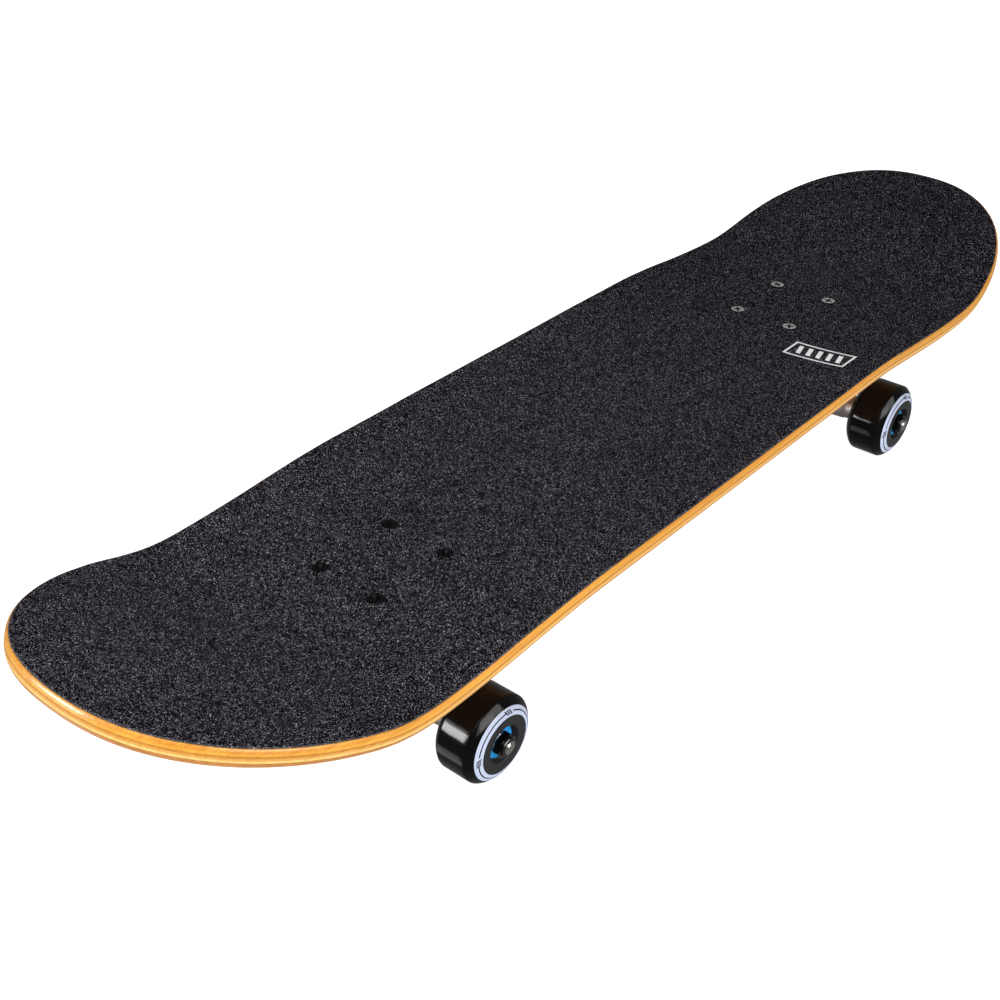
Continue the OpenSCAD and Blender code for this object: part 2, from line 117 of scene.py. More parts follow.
def make_lights():
    """An even studio: a pale surround, a large box overhead and one box on each side, with a glint
    by each box and one from below the floor, for the black and bare metal parts."""
    world = bpy.data.worlds.new("studio")
    world.use_nodes = True
    sky = world.node_tree.nodes["Background"]
    sky.inputs["Color"].default_value = (1.0, 1.0, 1.0, 1)
    sky.inputs["Strength"].default_value = SKY_STRENGTH
    bpy.context.scene.world = world
    bpy.context.scene.view_settings.view_transform = "Standard"
    add_softbox("overhead_box", 180, 56, 1.3, (1.2, 1.2), 2.0)
    add_softbox("left_box", 155.5, 18, 1.76, (0.36, 0.66), 11.0)
    add_softbox("right_box", -104, 26, 1.7, (1.3, 0.9), 4.4)
    add_softbox("overhead_glint", 192, 58, 1.4, (0.8, 0.8), 4.5, True)
    add_softbox("left_glint", 152, 12.7, 1.80, (0.62, 0.62), 42.0, True)
    add_softbox("right_glint", -88, 34, 1.6, (1.7, 1.1), 8.0, True)
    add_softbox("low_glint", 146, -36, 1.3, (0.56, 0.36), 2.8, True)


# ---------------------------------------------------------------- materials


class Graph:
    """A material with a Principled shader, and short calls that add the nodes feeding it."""

    def __init__(self, name, **values):
        self.material = bpy.data.materials.new(name)
        self.material.use_nodes = True
        self.tree = self.material.node_tree
        self.shader = self.tree.nodes["Principled BSDF"]
        self.coordinates = self.tree.nodes.new("ShaderNodeTexCoord").outputs["Object"]
        for key, value in values.items():
            self.shader.inputs[key.replace("_", " ")].default_value = value

    def add(self, kind, **inputs):
        node = self.tree.nodes.new(kind)
        for key, value in inputs.items():
            self.feed(node.inputs[key.replace("_", " ")], value)
        return node

    def feed(self, socket, value):
        if isinstance(value, bpy.types.NodeSocket):
            self.tree.links.new(value, socket)
        else:
            socket.default_value = value

    def stretched(self, scale):
        node = self.add("ShaderNodeMapping", Vector=self.coordinates)
        node.inputs["Scale"].default_value = scale
        return node.outputs["Vector"]

    def noise(self, scale, detail, roughness, vector=None, distortion=0.0):
        node = self.add(
            "ShaderNodeTexNoise", Scale=scale, Detail=detail, Roughness=roughness,
            Distortion=distortion, Vector=vector or self.coordinates,
        )
        return node.outputs["Fac"]

    def cells(self, scale, output="Color"):
        node = self.add("ShaderNodeTexVoronoi", Scale=scale, Vector=self.coordinates)
        return node.outputs[output]

    def levels(self, value, low, high, to_low=0.0, to_high=1.0):
        node = self.add(
            "ShaderNodeMapRange", Value=value, From_Min=low, From_Max=high,
            To_Min=to_low, To_Max=to_high,
        )
        return node.outputs["Result"]

    def mix(self, factor, a, b):
        node = self.tree.nodes.new("ShaderNodeMix")
        node.data_type = "RGBA"
        self.feed(node.inputs["Factor"], factor)
        self.feed(node.inputs["A"], a)
        self.feed(node.inputs["B"], b)
        return node.outputs["Result"]

    def math(self, kind, a, b=0.0):
        node = self.tree.nodes.new("ShaderNodeMath")
        node.operation = kind
        self.feed(node.inputs[0], a)
        self.feed(node.inputs[1], b)
        return node.outputs[0]

    def bump(self, height, distance, strength):
        node = self.add("ShaderNodeBump", Height=height, Distance=distance, Strength=strength)
        return node.outputs["Normal"]

    def set(self, **inputs):
        for key, value in inputs.items():
            self.feed(self.shader.inputs[key.replace("_", " ")], value)


def rgb(r, g, b):
    return (r, g, b, 1.0)


GRAINS, DUST = 3000.0, 5300.0           # grains of the grip to a metre, and finer ones between
GRAIN_CONTRAST = 12.0
# The grip's painted shade: its tone falls along X, from the tail towards the nose.
PAINTED_SHADE_FROM, PAINTED_SHADE_TO = -0.38, 0.40      # where the grip's tone starts and stops falling, along X
PAINTED_SHADE_CURVE, PAINTED_SHADE_DARKEST = 1.4, 0.56


def grip_material(name="grip_grit", lift=0.0):
    """Black abrasive sheet: glued grains, a few of them with a painted glint, and painted shade that
    darkens it towards the nose.
    lift lightens it where it is filed."""
    g = Graph(name, Roughness=0.8)
    g.shader.inputs["Specular IOR Level"].default_value = 0.0
    grain = g.add("ShaderNodeSeparateColor", Color=g.cells(GRAINS))
    dust = g.add("ShaderNodeSeparateColor", Color=g.cells(DUST))
    level = g.math("POWER", grain.outputs[0], GRAIN_CONTRAST)
    fine = g.levels(dust.outputs[0], 0.0, 1.0, 0.6, 1.4)
    worn = g.levels(g.noise(7.0, 4.0, 0.6), 0.3, 0.75, 0.9, 1.12)
    base = g.mix(level, rgb(0.002 + lift, 0.0018 + lift, 0.0022 + lift),
                 rgb(0.410 + lift, 0.385 + lift, 0.455 + lift))
    tint = g.mix(g.levels(grain.outputs[2], 0.8, 1.0, 0.0, 0.5), base, rgb(0.026, 0.020, 0.038))
    # painted glints: a few grains lightened to near white, standing for the grit's glints
    painted_glint = g.levels(grain.outputs[1], 0.985, 0.990)
    bright = g.mix(painted_glint, tint, rgb(0.75, 0.75, 0.79))
    place = g.add("ShaderNodeSeparateXYZ", Vector=g.coordinates).outputs["X"]
    # painted shade: darkens the grip along X, from the tail towards the nose
    painted_shade = g.levels(place, PAINTED_SHADE_FROM, PAINTED_SHADE_TO, 0.0, 1.0)
    painted_shade = g.levels(g.math("POWER", painted_shade, PAINTED_SHADE_CURVE), 0.0, 1.0, 1.0, PAINTED_SHADE_DARKEST)
    tone = g.math("MULTIPLY", g.math("MULTIPLY", fine, worn), painted_shade)
    shade = g.add("ShaderNodeHueSaturation", Color=bright, Value=tone)
    height = g.math("SUBTRACT", 1.0, g.cells(GRAINS, "Distance"))
    g.set(Base_Color=shade.outputs["Color"], Normal=g.bump(height, 0.00025, 0.7))
    return g.material


FIBRE_ALONG, FIBRE_ACROSS = 9.0, 380.0      # how often the grain changes in a metre


def maple_material(name, light, dark, along):
    """Varnished maple veneer. along is 1 where the grain runs with the board, 0 across it."""
    g = Graph(name, Roughness=0.3)
    g.shader.inputs["Specular IOR Level"].default_value = 0.2
    g.shader.inputs["Coat Weight"].default_value = 0.08
    g.shader.inputs["Coat Roughness"].default_value = 0.15
    scale = (FIBRE_ALONG, FIBRE_ACROSS, FIBRE_ACROSS)
    if not along:
        scale = (FIBRE_ACROSS, FIBRE_ALONG, FIBRE_ACROSS)
    fibre = g.noise(1.0, 5.0, 0.62, g.stretched(scale), 0.6)
    pores = g.noise(1.0, 3.0, 0.5, g.stretched(tuple(3.3 * k for k in scale)))
    cloud = g.noise(26.0, 3.0, 0.5)
    deep = tuple(0.72 * c for c in dark)
    colour = g.mix(g.levels(fibre, 0.36, 0.66), rgb(*dark), rgb(*light))
    colour = g.mix(g.levels(pores, 0.54, 0.74, 0.0, 0.6), colour, rgb(*deep))
    colour = g.mix(g.levels(cloud, 0.42, 0.72, 0.0, 0.4), colour, rgb(*dark))
    nick = g.levels(g.noise(160.0, 2.0, 0.5), 0.76, 0.79)
    colour = g.mix(nick, colour, rgb(*deep))
    rough = g.levels(pores, 0.3, 0.8, 0.24, 0.42)
    g.set(Base_Color=colour, Roughness=rough, Normal=g.bump(pores, 0.00006, 0.5))
    return g.material


def metal_material(name, colour, rough, grain, depth, stain):
    """Metal with a machined or cast grain, as deep as depth in metres, and faint stains."""
    g = Graph(name, Metallic=1.0, Roughness=rough)
    fine = g.noise(grain, 4.0, 0.6)
    cloud = g.noise(60.0, 4.0, 0.6)
    stained = tuple(0.55 * c for c in colour)
    tone = g.mix(g.levels(cloud, 0.35, 0.75, 0.0, stain), rgb(*colour), rgb(*stained))
    spread = g.levels(cloud, 0.3, 0.7, rough - 0.06, rough + 0.1)
    g.set(Base_Color=tone, Roughness=spread, Normal=g.bump(fine, depth, 0.6))
    return g.material


def plastic_material(name, colour, rough, depth=0.00002, gloss=0.5, scuff=0.1):
    """Moulded plastic, rubber or urethane with a faint skin texture. gloss is its specular level."""
    g = Graph(name, Roughness=rough)
    g.shader.inputs["Specular IOR Level"].default_value = gloss
    fine = g.noise(1500.0, 3.0, 0.6)
    cloud = g.noise(45.0, 4.0, 0.65)
    bloom = tuple(min(1.0, 1.4 * c + 0.002) for c in colour)
    tone = g.mix(g.levels(cloud, 0.4, 0.8, 0.0, 0.5), rgb(*colour), rgb(*bloom))
    spread = g.levels(cloud, 0.3, 0.8, rough, rough + scuff)
    g.set(Base_Color=tone, Roughness=spread, Normal=g.bump(fine, depth, 0.5))
    return g.material


def paper_material():
    """Plain white paper, lit through from behind so that it stays white in the board's shade."""
    g = Graph("studio_paper", Roughness=0.9)
    g.shader.inputs["Specular IOR Level"].default_value = 0.0
    g.shader.inputs["Emission Color"].default_value = (1.0, 1.0, 1.0, 1)
    g.shader.inputs["Emission Strength"].default_value = 0.94
    g.set(Base_Color=g.levels(g.noise(3.0, 2.0, 0.5), 0.3, 0.7, 0.50, 0.52))
    return g.material


make_camera()
make_lights()

GRIP = grip_material()
GRIP_EDGE = grip_material("grip_filed_edge", 0.05)
CAST = metal_material("cast_aluminium", (0.29, 0.262, 0.248), 0.52, 700.0, 0.00012, 0.5)
STEEL = metal_material("zinc_steel", (0.50, 0.49, 0.46), 0.30, 1200.0, 0.00002, 0.4)
POLISHED = metal_material("bearing_steel", (0.62, 0.62, 0.64), 0.16, 1500.0, 0.00001, 0.2)
AXLE_STEEL = metal_material("axle_steel", (0.47, 0.46, 0.42), 0.16, 1500.0, 0.00004, 0.6)
BLACK_STEEL = plastic_material("black_zinc", (0.001, 0.001, 0.0012), 0.10, 0.00004, 0.10, 0.06)
BLACK_NUT = plastic_material("black_nut", (0.002, 0.002, 0.0024), 0.10, 0.00004, 0.5, 0.06)
# The front screws' light grey is a painted reflection of the pale surroundings on their flat heads.
REFLECTING_GREY_STEEL = metal_material("zinc_painted_reflection", (0.80, 0.80, 0.77), 0.36, 1200.0, 0.00002, 0.5)
# Painted shade: the driver recesses are near black, for the shade inside them.
RECESS_SHADE = plastic_material("screw_recess_painted_shade", (0.001, 0.001, 0.001), 0.3, 0.00002, 0.06)
URETHANE = plastic_material("black_urethane", (0.0018, 0.0018, 0.002), 0.09, 0.00001, 0.11, 0.05)
HUB_FACE = plastic_material("wheel_side_face", (0.0125, 0.012, 0.012), 0.42, 0.00004, 0.3)
PRINT = plastic_material("white_print", (0.43, 0.49, 0.64), 0.40, 0.00001, 0.3)
SHIELD = plastic_material("blue_shield_rubber", (0.004, 0.34, 0.84), 0.34, 0.00003, 0.4)
BUSHING = plastic_material("bushing_urethane", (0.012, 0.05, 0.22), 0.30, 0.00002, 0.5)
CUP = plastic_material("pivot_cup_urethane", (0.012, 0.012, 0.013), 0.45)
NYLON = plastic_material("nylon", (0.62, 0.60, 0.54), 0.45)
MARK = plastic_material("grip_mark_paint", (0.72, 0.72, 0.74), 0.7, 0.0002)

# ---------------------------------------------------------------- mesh helpers


def finish_mesh(bm, name, material, body, crease=35.0):
    """Turns bm into an object that rides on body, with its normals outwards."""
    bmesh.ops.recalc_face_normals(bm, faces=bm.faces)
    mesh = bpy.data.meshes.new(name)
    bm.to_mesh(mesh)
    bm.free()
    mesh.polygons.foreach_set("use_smooth", [True] * len(mesh.polygons))
    mesh.set_sharp_from_angle(angle=math.radians(crease))
    piece = bpy.data.objects.new(name, mesh)
    bpy.context.scene.collection.objects.link(piece)
    for entry in material if isinstance(material, (list, tuple)) else [material]:
        mesh.materials.append(entry)
    if body:
        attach(piece, body)
    return piece


def add_loft(bm, rings, place, closed=True, caps=False, paint=0):
    """Joins rings of points round an axis. A ring is a list of (x, y, z) in place's own frame.
    closed joins the last ring to the first, as in a tube; caps closes both ends instead."""
    rows = [[bm.verts.new(place @ Vector(p)) for p in ring] for ring in rings]
    pairs = list(zip(rows, rows[1:]))
    if closed:
        pairs.append((rows[-1], rows[0]))
    count = len(rows[0])
    for a, b in pairs:
        for i in range(count):
            j = (i + 1) % count
            bm.faces.new((a[i], a[j], b[j], b[i])).material_index = paint
    if caps:
        bm.faces.new(rows[0]).material_index = paint
        bm.faces.new(rows[-1]).material_index = paint


def circle(radius, z, count):
    """A ring of points. radius is a number or a function of the angle."""
    points = []
    for i in range(count):
        t = 2 * math.pi * i / count
        r = radius(t) if callable(radius) else radius
        points.append((r * math.cos(t), r * math.sin(t), z))
    return points


def arc(centre, radii, start, end, steps):
    """Points of an elliptical arc in a section, from start to end in degrees."""
    found = []
    for i in range(steps + 1):
        t = math.radians(start + (end - start) * i / steps)
        found.append((centre[0] + radii[0] * math.cos(t), centre[1] + radii[1] * math.sin(t)))
    return found


def lathe(bm, section, place, count, closed=True, caps=False):
    """Turns a section of (radius, z) points, in millimetres, round place's z axis."""
    rings = [circle(r * MM, z * MM, count) for r, z in section]
    add_loft(bm, rings, place, closed, caps)


def hexagon(flats):
    """A function that gives a hexagon's radius at an angle, for a distance across its flats."""
    def radius(t):
        turn = (t + math.pi / 6) % (math.pi / 3) - math.pi / 6
        return flats / 2 * MM / math.cos(turn)
    return radius


NUT_SIDES = 72                  # points round a nut, twelve to a flat
CHAMFER_FROM = 1.03             # where a nut's chamfer starts, over half its distance across flats
CHAMFER_SLOPE = math.tan(math.radians(28))


def add_nut(bm, flats, bore, height, place, collar=None):
    """A hexagon nut with chamfered corners, from z = 0 outwards. collar is the radius and height of
    the nylon ring on its far end. Millimetres."""
    full = hexagon(flats)
    limit = flats / 2 * MM * CHAMFER_FROM
    count = NUT_SIDES

    def cut(t):
        return min(full(t), limit)

    def edge(z, way):
        points = []
        for i in range(count):
            t = 2 * math.pi * i / count
            r = full(t)
            drop = max(0.0, r - limit) * CHAMFER_SLOPE
            points.append((r * math.cos(t), r * math.sin(t), z + way * drop))
        return points

    top = height * MM
    rings = [circle(bore * MM, 0, count), circle(cut, 0, count), edge(0, 1), edge(top, -1)]
    if collar:
        wide, tall = collar
        rings += [circle(wide * MM, top, count), circle(wide * MM, top + 0.7 * tall * MM, count)]
        rings += [circle((wide - 0.35) * MM, top + 0.95 * tall * MM, count)]
        rings += [circle((wide - 0.9) * MM, top + tall * MM, count)]
        rings += [circle(bore * MM, top + tall * MM, count)]
    else:
        rings += [circle(cut, top, count), circle(bore * MM, top, count)]
    add_loft(bm, rings, place)


THREAD_STEPS = 6                # rings to one turn of a thread
THREAD_SHARPNESS = 1.3


def add_thread(bm, radius, pitch, start, end, place, depth, count):
    """A threaded rod from start to end along place's z axis, in millimetres, closed at both ends."""
    steps = int(round((end - start) / pitch * THREAD_STEPS))
    rings = [circle(0.02 * radius * MM, start * MM, count)]
    for k in range(steps + 1):
        z = start + (end - start) * k / steps
        fade = min(1.0, (end - z) / pitch + 0.15, (z - start) / pitch + 0.15)

        def profile(t, z=z, fade=fade):
            phase = (z / pitch - t / (2 * math.pi)) % 1.0
            return (radius - depth * fade * abs(2 * phase - 1) ** THREAD_SHARPNESS) * MM

        rings.append(circle(profile, z * MM, count))
    rings.append(circle(0.02 * radius * MM, end * MM, count))
    add_loft(bm, rings, place, closed=False, caps=True)


def frame_along(origin, z_way, x_hint=Vector((0, 0, 1))):
    """A frame at origin, whose z axis runs along z_way."""
    z = Vector(z_way).normalized()
    x = (x_hint - x_hint.dot(z) * z).normalized()
    y = z.cross(x)
    return Matrix.Translation(Vector(origin)) @ Matrix((x, y, z)).transposed().to_4x4()


def apply_modifiers(piece):
    """Replaces the piece's mesh with what its modifiers make of it."""
    bpy.context.view_layer.update()
    graph = bpy.context.evaluated_depsgraph_get()
    made = bpy.data.meshes.new_from_object(piece.evaluated_get(graph))
    piece.modifiers.clear()
    old = piece.data
    piece.data = made
    bpy.data.meshes.remove(old)


def cut_away(piece, cutter, keep_paint=False):
    """Cuts the cutter out of the piece. keep_paint gives the new faces the cutter's material."""
    change = piece.modifiers.new("cut", "BOOLEAN")
    change.operation = "DIFFERENCE"
    change.solver = "EXACT"
    change.material_mode = "TRANSFER" if keep_paint else "INDEX"
    change.object = cutter
    apply_modifiers(piece)


# ---------------------------------------------------------------- the board's shape

DECK_WIDTH = 205.3
NOSE, TAIL = 1, -1
LENGTH = {NOSE: 420.9, TAIL: 420.3}
CURVE_START = {NOSE: 283.0, TAIL: 294.0}
POINTEDNESS = {NOSE: 2.14, TAIL: 2.185}
END_FULLNESS = 2.25
RAIL_TAPER = 0.9
KICK_START = {NOSE: 273.4, TAIL: 268.2}
KICK_RADIUS = {NOSE: 130.0, TAIL: 123.0}
KICK_ANGLE = {NOSE: math.radians(15.7), TAIL: math.radians(19.3)}
CONCAVE_HEIGHT = 7.8
CONCAVE_FLAT = 25.2
CONCAVE_FADE = (143.0, 267.0)
CONCAVE_LEFT = {NOSE: 0.02, TAIL: 0.2}
DECK_THICKNESS = 10.2
GRIP_THICKNESS, GRIP_WANDER = 0.7, 0.7
EDGE_TOP = (1.0, 3.6)           # width and drop of the round over at the top
EDGE_BOTTOM = (3.8, 4.7)        # width and rise of the one at the bottom
END_STEPS, RAIL_STEPS, CROSS_STEPS = 40, 76, 26
TINY = 1e-9                     # an outline's width below this is its tip

# The curves below are about the middle between the two trucks, SHIFT_X from the frame's origin
SCREWS_LOW, SCREWS_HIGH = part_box("front_mounting_screws")
REAR_LOW, REAR_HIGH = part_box("rear_mounting_screws")
SHIFT_X = (SCREWS_LOW[0] + SCREWS_HIGH[0] + REAR_LOW[0] + REAR_HIGH[0]) / 4 / MM
DECK_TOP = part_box("grip_tape")[0][2] / MM


def smooth_step(v):
    c = np.clip(v, 0, 1)
    return c * c * (3 - 2 * c)


def outline():
    """Half of the flat outline, on the +Y side, from the tail's tip to the nose's, and its normals."""
    points = []
    for end, order in ((TAIL, range(END_STEPS)), (NOSE, range(1, END_STEPS + 1))):
        part = []
        for k in order:
            t = math.pi / 2 * ((END_STEPS - k) if end == TAIL else k) / END_STEPS
            x = CURVE_START[end]
            x += (LENGTH[end] - x) * math.sin(t) ** (2 / POINTEDNESS[end])
            y = (DECK_WIDTH / 2 - RAIL_TAPER) * max(0.0, math.cos(t)) ** (2 / END_FULLNESS)
            part.append((end * x, y if y > TINY else 0.0))
        points.append(part)
    middle = []
    for k in range(RAIL_STEPS + 1):
        u = (1 - math.cos(math.pi * k / RAIL_STEPS)) / 2
        x = -CURVE_START[TAIL] + (CURVE_START[NOSE] + CURVE_START[TAIL]) * u
        start = CURVE_START[NOSE] if x > 0 else CURVE_START[TAIL]
        middle.append((x, DECK_WIDTH / 2 - RAIL_TAPER * (x / start) ** 2))
    line = np.array(points[0] + middle + points[1])
    along = np.zeros_like(line)
    along[1:-1] = line[2:] - line[:-2]
    normals = np.stack([-along[:, 1], along[:, 0]], 1)
    normals[0], normals[-1] = (-1, 0), (1, 0)
    normals /= np.linalg.norm(normals, axis=1)[:, None]
    return line, normals


OUTLINE, NORMALS = outline()


def bent(x, y, height):
    """Bends flat points, and a height above the deck's top face, into the board. Millimetres in,
    metres out."""
    x, y = np.asarray(x, float), np.asarray(y, float)
    height = np.broadcast_to(height, x.shape)
    out = np.zeros(x.shape + (3,))
    for end in (NOSE, TAIL):
        mine = (x >= 0) if end == NOSE else (x < 0)
        far = np.abs(x)
        start, radius, full = KICK_START[end], KICK_RADIUS[end], KICK_ANGLE[end]
        turn = np.clip((far - start) / radius, 0, full)
        straight = np.maximum(0, far - start - radius * full)
        place = np.minimum(far, start) + radius * np.sin(turn) + straight * math.cos(full)
        rise = radius * (1 - np.cos(turn)) + straight * math.sin(full)
        fade = smooth_step((far - CONCAVE_FADE[0]) / (CONCAVE_FADE[1] - CONCAVE_FADE[0]))
        fade = 1 - (1 - CONCAVE_LEFT[end]) * fade
        side = np.clip((np.abs(y) - CONCAVE_FLAT) / (DECK_WIDTH / 2 - CONCAVE_FLAT), 0, 1)
        lift = CONCAVE_HEIGHT * fade * side ** 2 + height
        here = np.stack([end * (place - lift * np.sin(turn)), y, rise + lift * np.cos(turn)], -1)
        out[mine] = here[mine]
    out += (SHIFT_X, 0, DECK_TOP)
    return out * MM


def edge_inset(height):
    """How far the deck's edge lies inside its widest line at a height below the top face."""
    width, drop = EDGE_TOP
    if height > -drop:
        return width * (1 - math.sqrt(max(0.0, 1 - (1 + height / drop) ** 2)))
    width, rise = EDGE_BOTTOM
    above = height + DECK_THICKNESS
    if above < rise:
        return width * (1 - math.sqrt(max(0.0, 1 - (1 - above / rise) ** 2)))
    return 0.0


EDGE_SMOOTHING = (0.1, 0.2, 0.4, 0.2, 0.1)


def board_sheet(name, rings, material, wander=0.0):
    """A closed sheet with the board's outline. rings are (inset, height) from its top edge to its
    bottom edge. wander is how far a hand-cut edge strays inwards."""
    bm = bmesh.new()
    last = len(OUTLINE) - 1
    stray = np.array([random.uniform(0, wander) for _ in OUTLINE])
    stray = np.convolve(np.pad(stray, 2, mode="edge"), EDGE_SMOOTHING, "valid")[:, None]
    loops = []
    for inset, height in rings:
        edge = OUTLINE - (inset + stray) * NORMALS
        edge[0, 1] = edge[-1, 1] = 0.0
        other = edge[last - 1:0:-1] * (1, -1)
        flat = np.concatenate([edge, other])
        loops.append([bm.verts.new(p) for p in bent(flat[:, 0], flat[:, 1], height)])
    count = len(loops[0])
    for a, b in zip(loops, loops[1:]):
        for i in range(count):
            j = (i + 1) % count
            bm.faces.new((a[i], a[j], b[j], b[i]))
    for loop, (inset, height) in ((loops[0], rings[0]), (loops[-1], rings[-1])):
        edge = OUTLINE - (inset + stray) * NORMALS
        rows = []
        for k in range(1, last):
            y = edge[k, 1] * (1 - 2 * np.arange(1, CROSS_STEPS) / CROSS_STEPS)
            inner = [bm.verts.new(p) for p in bent(np.full_like(y, edge[k, 0]), y, height)]
            rows.append([loop[k]] + inner + [loop[2 * last - k]])
        for a, b in zip(rows, rows[1:]):
            for j in range(CROSS_STEPS):
                bm.faces.new((a[j], b[j], b[j + 1], a[j + 1]))
        for tip, row in ((loop[0], rows[0]), (loop[last], rows[-1])):
            for j in range(CROSS_STEPS):
                bm.faces.new((tip, row[j], row[j + 1]))
    return finish_mesh(bm, name, material, None)


# The screws' places and sizes, and a hole for each with its countersink
SCREW_X, SCREW_Y = 53.98 / 2, 41.28 / 2
TRUCK_X = {
    "front": (SCREWS_LOW[0] + SCREWS_HIGH[0]) / 2 / MM,
    "rear": (REAR_LOW[0] + REAR_HIGH[0]) / 2 / MM,
}
SCREW_TOP = SCREWS_HIGH[2] / MM
SCREW_BOTTOM = SCREWS_LOW[2] / MM
HEAD_RADIUS, HEAD_HEIGHT, SHANK_RADIUS = 4.7, 2.6, 2.4
FIT = 0.02                      # play between a threaded rod and what is on it
ON_AXIS = 0.001                 # a turned section starts this near its axis


def screw_places(end):
    """Frames at the middle of each screw head's top face, z upwards."""
    return [
        Matrix.Translation((
            (TRUCK_X[end] + i * SCREW_X) * MM, j * SCREW_Y * MM, SCREW_TOP * MM,
        ))
        for i in (-1, 1) for j in (-1, 1)
    ]


def make_hole_cutter():
    """The eight holes as one solid, from above the grip to below the deck."""
    bm = bmesh.new()
    wide, narrow, above, below = HEAD_RADIUS + 0.12, SHANK_RADIUS + 0.2, 4.0, -14.0
    section = [
        (ON_AXIS, above), (wide, above), (wide, -0.05), (narrow, -HEAD_HEIGHT - 0.1),
        (narrow, below), (ON_AXIS, below),
    ]
    for end in ENDS:
        for place in screw_places(end):
            lathe(bm, section, place, 40, closed=False, caps=True)
    return finish_mesh(bm, "hole_cutter", CUP, None)


def make_deck():
    """The seven plies, each with its own eased edges, so that the glue lines show as fine grooves.
    A layer is (depth of its top, light tone, dark tone, grain along the board)."""
    # The tones are the veneers' own, lightened and yellowed a little as a painted sheen of the varnish
    # along the rails; the pale fifth ply carries most of it.
    layers = [
        (0.0, (0.77, 0.36, 0.050), (0.60, 0.23, 0.028), 1),
        (1.7, (0.78, 0.40, 0.062), (0.66, 0.29, 0.036), 1),
        (3.3, (0.58, 0.26, 0.040), (0.47, 0.18, 0.024), 0),
        (4.2, (0.72, 0.38, 0.085), (0.60, 0.28, 0.055), 1),
        (5.3, (0.90, 0.58, 0.21), (0.80, 0.46, 0.13), 1),
        (6.6, (0.52, 0.235, 0.060), (0.40, 0.165, 0.036), 0),
        (8.3, (0.60, 0.31, 0.12), (0.50, 0.24, 0.085), 1),
        (DECK_THICKNESS,),
    ]
    cutter = make_hole_cutter()
    groove, ease = 0.12, 0.06       # depth of a glue line's groove, and height of its side
    for i, (depth, light, dark, along) in enumerate(layers[:-1]):
        top, bottom = -depth, -layers[i + 1][0]
        tall = top - bottom
        heights = [top - ease, top - 0.35 * tall, top - 0.65 * tall, bottom + ease]
        rings = [(edge_inset(top) + (groove if i else 0.0), top)]
        rings += [(edge_inset(h), h) for h in heights]
        last = i == len(layers) - 2
        rings += [(edge_inset(bottom) + (0.0 if last else groove), bottom)]
        material = maple_material(f"maple_ply_{i + 1}", light, dark, along)
        piece = board_sheet(f"deck_ply_{i + 1}", rings, material)
        cut_away(piece, cutter)
        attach(piece, "board")
        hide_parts("deck")
    rings = [(1.5, GRIP_THICKNESS), (1.16, 0.62), (1.0, 0.42), (1.0, 0.0)]
    grip = board_sheet("grip_sheet", rings, [GRIP, GRIP_EDGE], GRIP_WANDER)
    edge_faces = (len(rings) - 1) * 2 * (len(OUTLINE) - 1)
    for face in list(grip.data.polygons)[:edge_faces]:
        face.material_index = 1
    cut_away(grip, cutter)
    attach(grip, "board")
    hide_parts("grip_tape")
    bpy.data.objects.remove(cutter)


def make_grip_mark():
    """A plain frame with bars, painted on the grip near the front truck's right side."""
    bm = bmesh.new()
    centre_x, centre_y, wide, long, line = 152.0, -59.0, 20.0, 44.0, 1.5
    top, thick = GRIP_THICKNESS + 0.03, 0.025

    def patch(x0, x1, y0, y1, lean=0.0):
        """A thin strip of paint that follows the board's curves."""
        nx, ny = max(1, int((x1 - x0) / 2)), max(1, int((y1 - y0) / 2))
        layers = []
        for height in (top, top - thick):
            grid = []
            for i in range(nx + 1):
                x = x0 + (x1 - x0) * i / nx
                y = y0 + (y1 - y0) * np.arange(ny + 1) / ny + lean * (x - x0)
                grid.append([bm.verts.new(p) for p in bent(np.full_like(y, x), y, height)])
            layers.append(grid)
        for grid in layers:
            for a, b in zip(grid, grid[1:]):
                for j in range(ny):
                    bm.faces.new((a[j], a[j + 1], b[j + 1], b[j]))
        upper, lower = layers
        border = [(i, 0) for i in range(nx)] + [(nx, j) for j in range(ny)]
        border += [(i, ny) for i in range(nx, 0, -1)] + [(0, j) for j in range(ny, 0, -1)]
        for (i, j), (k, m) in zip(border, border[1:] + border[:1]):
            bm.faces.new((upper[i][j], upper[k][m], lower[k][m], lower[i][j]))

    x0, x1 = centre_x - wide / 2, centre_x + wide / 2
    y0, y1 = centre_y - long / 2, centre_y + long / 2
    patch(x0, x1, y0, y0 + line)
    patch(x0, x1, y1 - line, y1)
    patch(x0, x0 + line, y0 + line, y1 - line)
    patch(x1 - line, x1, y0 + line, y1 - line)
    bars, first, spacing, bar, margin, lean = 5, 4.6, 7.2, 3.2, 4.5, 0.25
    for i in range(bars):
        y = y0 + first + spacing * i
        patch(x0 + margin, x1 - margin, y, y + bar, lean)
    piece = finish_mesh(bm, "grip_mark", MARK, "board")


make_deck()
make_grip_mark()

# ---------------------------------------------------------------- screws and their nuts

NUT_FLATS, NUT_HEIGHT = 9.5, 4.2
SCREW_PITCH, SCREW_THREAD = 0.79, 13.0
SCREW_THREAD_DEPTH = 0.55 * SCREW_PITCH
RECESS_CROSS = (            # height, half the cross's width, half its arms' thickness
    (1.0, 3.5, 1.0), (0.1, 3.1, 0.9), (-1.6, 1.4, 0.5), (-2.1, 0.7, 0.45),
)


def recess_cutter():
    """A tapered cross, for the driver recess in a screw head."""
    bm = bmesh.new()
    rings = []
    for z, half, slot in RECESS_CROSS:
        ring = []
        for turn in range(4):
            c, t = (1, 0, -1, 0)[turn], (0, 1, 0, -1)[turn]
            for u, v in ((half, -slot), (half, slot), (slot, slot)):
                ring.append(((c * u - t * v) * MM, (t * u + c * v) * MM, z * MM))
        rings.append(ring)
    add_loft(bm, rings, Matrix.Identity(4), closed=False, caps=True)
    return finish_mesh(bm, "recess_cutter", RECESS_SHADE, None)


